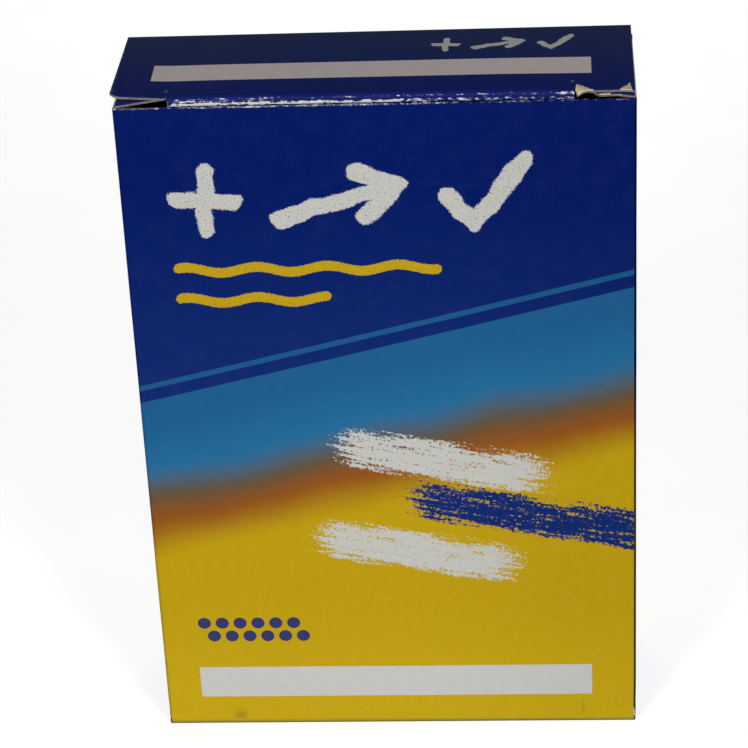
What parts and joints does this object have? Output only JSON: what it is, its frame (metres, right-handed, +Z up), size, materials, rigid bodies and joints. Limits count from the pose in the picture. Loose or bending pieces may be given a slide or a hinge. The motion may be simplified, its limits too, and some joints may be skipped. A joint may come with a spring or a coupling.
{
  "type": "carton of wax marking crayons",
  "caption": "Upright tuck-end folding carton of paper-wrapped wax marking crayons in two nested rows; both lids, tuck flaps and dust flaps fold open and each crayon slides.",
  "frame": {"origin": "middle of the carton's footprint, on the outer face of the bottom lid", "axes": "+Z up along the carton's height, the front panel faces -Y, +X to the right seen from the front"},
  "size_m": [0.082, 0.0242, 0.121],
  "materials": {
    "printed_board": "glossy varnished print on white-lined carton board, scuffed white along the folds",
    "raw_board": "uncoated grey-cream carton board",
    "white_wax": "waxy off-white, slightly translucent, satin",
    "wrapper_paper": "printed paper wrapper, satin"
  },
  "bodies": {
    "sleeve": {"front_panel": "printed_board", "back_panel": "printed_board", "left_panel": "printed_board", "right_panel": "printed_board", "glue_flap": "raw_board"},
    "top_lid": {"top_lid": "printed_board"},
    "top_tuck_flap": {"top_tuck_flap": "printed_board"},
    "top_dust_flap_left": {"top_dust_flap_left": "printed_board"},
    "top_dust_flap_right": {"top_dust_flap_right": "printed_board"},
    "bottom_lid": {"bottom_lid": "printed_board"},
    "bottom_tuck_flap": {"bottom_tuck_flap": "printed_board"},
    "bottom_dust_flap_left": {"bottom_dust_flap_left": "printed_board"},
    "bottom_dust_flap_right": {"bottom_dust_flap_right": "printed_board"},
    "crayon_01": {"wax_stick_01": "white_wax", "paper_wrapper_01": "wrapper_paper"},
    "crayon_02": {"wax_stick_02": "white_wax", "paper_wrapper_02": "wrapper_paper"},
    "crayon_03": {"wax_stick_03": "white_wax", "paper_wrapper_03": "wrapper_paper"},
    "crayon_04": {"wax_stick_04": "white_wax", "paper_wrapper_04": "wrapper_paper"},
    "crayon_05": {"wax_stick_05": "white_wax", "paper_wrapper_05": "wrapper_paper"},
    "crayon_06": {"wax_stick_06": "white_wax", "paper_wrapper_06": "wrapper_paper"},
    "crayon_07": {"wax_stick_07": "white_wax", "paper_wrapper_07": "wrapper_paper"},
    "crayon_08": {"wax_stick_08": "white_wax", "paper_wrapper_08": "wrapper_paper"},
    "crayon_09": {"wax_stick_09": "white_wax", "paper_wrapper_09": "wrapper_paper"},
    "crayon_10": {"wax_stick_10": "white_wax", "paper_wrapper_10": "wrapper_paper"},
    "crayon_11": {"wax_stick_11": "white_wax", "paper_wrapper_11": "wrapper_paper"},
    "crayon_12": {"wax_stick_12": "white_wax", "paper_wrapper_12": "wrapper_paper"}
  },
  "joints": [
    {"name": "top_lid_hinge", "type": "hinge", "parent": "sleeve", "child": "top_lid", "pos_m": [0, 0.01211, 0.12099], "axis": [-1, 0, 0], "range_deg": [0, 110]},
    {"name": "top_tuck_fold", "type": "hinge", "parent": "top_lid", "child": "top_tuck_flap", "pos_m": [0, -0.01081, 0.12049], "axis": [1, 0, 0], "range_deg": [0, 33]},
    {"name": "top_dust_fold_left", "type": "hinge", "parent": "sleeve", "child": "top_dust_flap_left", "pos_m": [-0.04101, 0, 0.1193], "axis": [0, -1, 0], "range_deg": [0, 55]},
    {"name": "top_dust_fold_right", "type": "hinge", "parent": "sleeve", "child": "top_dust_flap_right", "pos_m": [0.04101, 0, 0.1193], "axis": [0, 1, 0], "range_deg": [0, 55]},
    {"name": "bottom_lid_hinge", "type": "hinge", "parent": "sleeve", "child": "bottom_lid", "pos_m": [0, -0.01211, 0], "axis": [-1, 0, 0], "range_deg": [0, 110]},
    {"name": "bottom_tuck_fold", "type": "hinge", "parent": "bottom_lid", "child": "bottom_tuck_flap", "pos_m": [0, 0.01081, 0.0005], "axis": [1, 0, 0], "range_deg": [0, 55]},
    {"name": "bottom_dust_fold_left", "type": "hinge", "parent": "sleeve", "child": "bottom_dust_flap_left", "pos_m": [-0.04101, 0, 0.0008], "axis": [0, 1, 0], "range_deg": [0, 55]},
    {"name": "bottom_dust_fold_right", "type": "hinge", "parent": "sleeve", "child": "bottom_dust_flap_right", "pos_m": [0.04101, 0, 0.0008], "axis": [0, -1, 0], "range_deg": [0, 55]},
    {"name": "crayon_01_slide", "type": "slide", "parent": "sleeve", "child": "crayon_01", "axis": [0, 0, 1], "range_m": [0, 0.0045]},
    {"name": "crayon_02_slide", "type": "slide", "parent": "sleeve", "child": "crayon_02", "axis": [0, 0, 1], "range_m": [0, 0.0045]},
    {"name": "crayon_03_slide", "type": "slide", "parent": "sleeve", "child": "crayon_03", "axis": [0, 0, 1], "range_m": [0, 0.0045]},
    {"name": "crayon_04_slide", "type": "slide", "parent": "sleeve", "child": "crayon_04", "axis": [0, 0, 1], "range_m": [0, 0.0045]},
    {"name": "crayon_05_slide", "type": "slide", "parent": "sleeve", "child": "crayon_05", "axis": [0, 0, 1], "range_m": [0, 0.0045]},
    {"name": "crayon_06_slide", "type": "slide", "parent": "sleeve", "child": "crayon_06", "axis": [0, 0, 1], "range_m": [0, 0.0045]},
    {"name": "crayon_07_slide", "type": "slide", "parent": "sleeve", "child": "crayon_07", "axis": [0, 0, 1], "range_m": [0, 0.0045]},
    {"name": "crayon_08_slide", "type": "slide", "parent": "sleeve", "child": "crayon_08", "axis": [0, 0, 1], "range_m": [0, 0.0045]},
    {"name": "crayon_09_slide", "type": "slide", "parent": "sleeve", "child": "crayon_09", "axis": [0, 0, 1], "range_m": [0, 0.0045]},
    {"name": "crayon_10_slide", "type": "slide", "parent": "sleeve", "child": "crayon_10", "axis": [0, 0, 1], "range_m": [0, 0.0045]},
    {"name": "crayon_11_slide", "type": "slide", "parent": "sleeve", "child": "crayon_11", "axis": [0, 0, 1], "range_m": [0, 0.0045]},
    {"name": "crayon_12_slide", "type": "slide", "parent": "sleeve", "child": "crayon_12", "axis": [0, 0, 1], "range_m": [0, 0.0045]}
  ],
  "couplings": [
    {"joint": "top_tuck_fold", "follows": "top_lid_hinge", "ratio": 0.3},
    {"joint": "top_dust_fold_left", "follows": "top_lid_hinge", "ratio": 0.5},
    {"joint": "top_dust_fold_right", "follows": "top_lid_hinge", "ratio": 0.5},
    {"joint": "bottom_tuck_fold", "follows": "bottom_lid_hinge", "ratio": 0.5},
    {"joint": "bottom_dust_fold_left", "follows": "bottom_lid_hinge", "ratio": 0.5},
    {"joint": "bottom_dust_fold_right", "follows": "bottom_lid_hinge", "ratio": 0.5}
  ]
}
